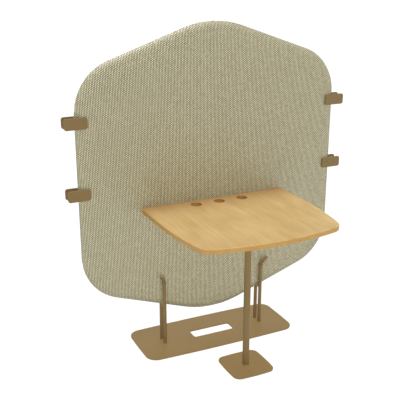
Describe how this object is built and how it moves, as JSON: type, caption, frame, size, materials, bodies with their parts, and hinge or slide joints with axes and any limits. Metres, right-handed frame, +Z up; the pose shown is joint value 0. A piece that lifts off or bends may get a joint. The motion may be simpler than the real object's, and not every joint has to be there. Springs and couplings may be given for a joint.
{
  "type": "desk with privacy screen",
  "caption": "Desk with a bowed wooden top on one post, standing at a hexagonal upholstered privacy screen that sits in rod forks on a steel floor plate, with pull-off linking clips.",
  "frame": {"origin": "on the floor, under the middle of the whole footprint", "axes": "+Z up, +X to the right for someone facing the screen's front, +Y from the desk's front edge to the screen and back"},
  "size_m": [1.4466, 0.8146, 1.579],
  "materials": {
    "woven_fabric": "matte",
    "foam": "matte",
    "felt_board": "matte",
    "plywood": "matte",
    "solid_wood": "satin",
    "powder_coated_steel": "satin",
    "zinc_plated_steel": "satin",
    "rubber": "matte"
  },
  "bodies": {
    "desk_and_screen": {"base_pads": "rubber", "base_plate": "powder_coated_steel", "bracket_bolts": "zinc_plated_steel", "bracket_inserts": "zinc_plated_steel", "bracket_screws": "zinc_plated_steel", "bracket_spacers": "zinc_plated_steel", "desktop": "solid_wood", "flange_screws": "zinc_plated_steel", "foot_pads": "rubber", "foot_plate": "powder_coated_steel", "front_cover": "woven_fabric", "front_foam": "foam", "left_bracket": "powder_coated_steel", "left_front_rod": "powder_coated_steel", "left_rear_rod": "powder_coated_steel", "left_saddle": "powder_coated_steel", "leg_flange": "powder_coated_steel", "leg_plug": "zinc_plated_steel", "leg_post": "powder_coated_steel", "leg_screw": "zinc_plated_steel", "lower_acoustic_panel": "felt_board", "rear_cover": "woven_fabric", "rear_foam": "foam", "right_bracket": "powder_coated_steel", "right_front_rod": "powder_coated_steel", "right_rear_rod": "powder_coated_steel", "right_saddle": "powder_coated_steel", "rod_screws": "zinc_plated_steel", "screen_frame": "plywood", "upper_acoustic_panel": "felt_board"},
    "left_upper_clip": {"left_upper_clip_front": "powder_coated_steel", "left_upper_clip_rear": "powder_coated_steel", "left_upper_clip_web": "powder_coated_steel"},
    "left_lower_clip": {"left_lower_clip_front": "powder_coated_steel", "left_lower_clip_rear": "powder_coated_steel", "left_lower_clip_web": "powder_coated_steel"},
    "right_upper_clip": {"right_upper_clip_front": "powder_coated_steel", "right_upper_clip_rear": "powder_coated_steel", "right_upper_clip_web": "powder_coated_steel"},
    "right_lower_clip": {"right_lower_clip_front": "powder_coated_steel", "right_lower_clip_rear": "powder_coated_steel", "right_lower_clip_web": "powder_coated_steel"}
  },
  "joints": [
    {"name": "left_upper_clip_pull", "type": "slide", "parent": "desk_and_screen", "child": "left_upper_clip", "axis": [-1, 0, 0], "range_m": [0, 0.055]},
    {"name": "left_lower_clip_pull", "type": "slide", "parent": "desk_and_screen", "child": "left_lower_clip", "axis": [-1, 0, 0], "range_m": [0, 0.055]},
    {"name": "right_upper_clip_pull", "type": "slide", "parent": "desk_and_screen", "child": "right_upper_clip", "axis": [1, 0, 0], "range_m": [0, 0.055]},
    {"name": "right_lower_clip_pull", "type": "slide", "parent": "desk_and_screen", "child": "right_lower_clip", "axis": [1, 0, 0], "range_m": [0, 0.055]}
  ]
}
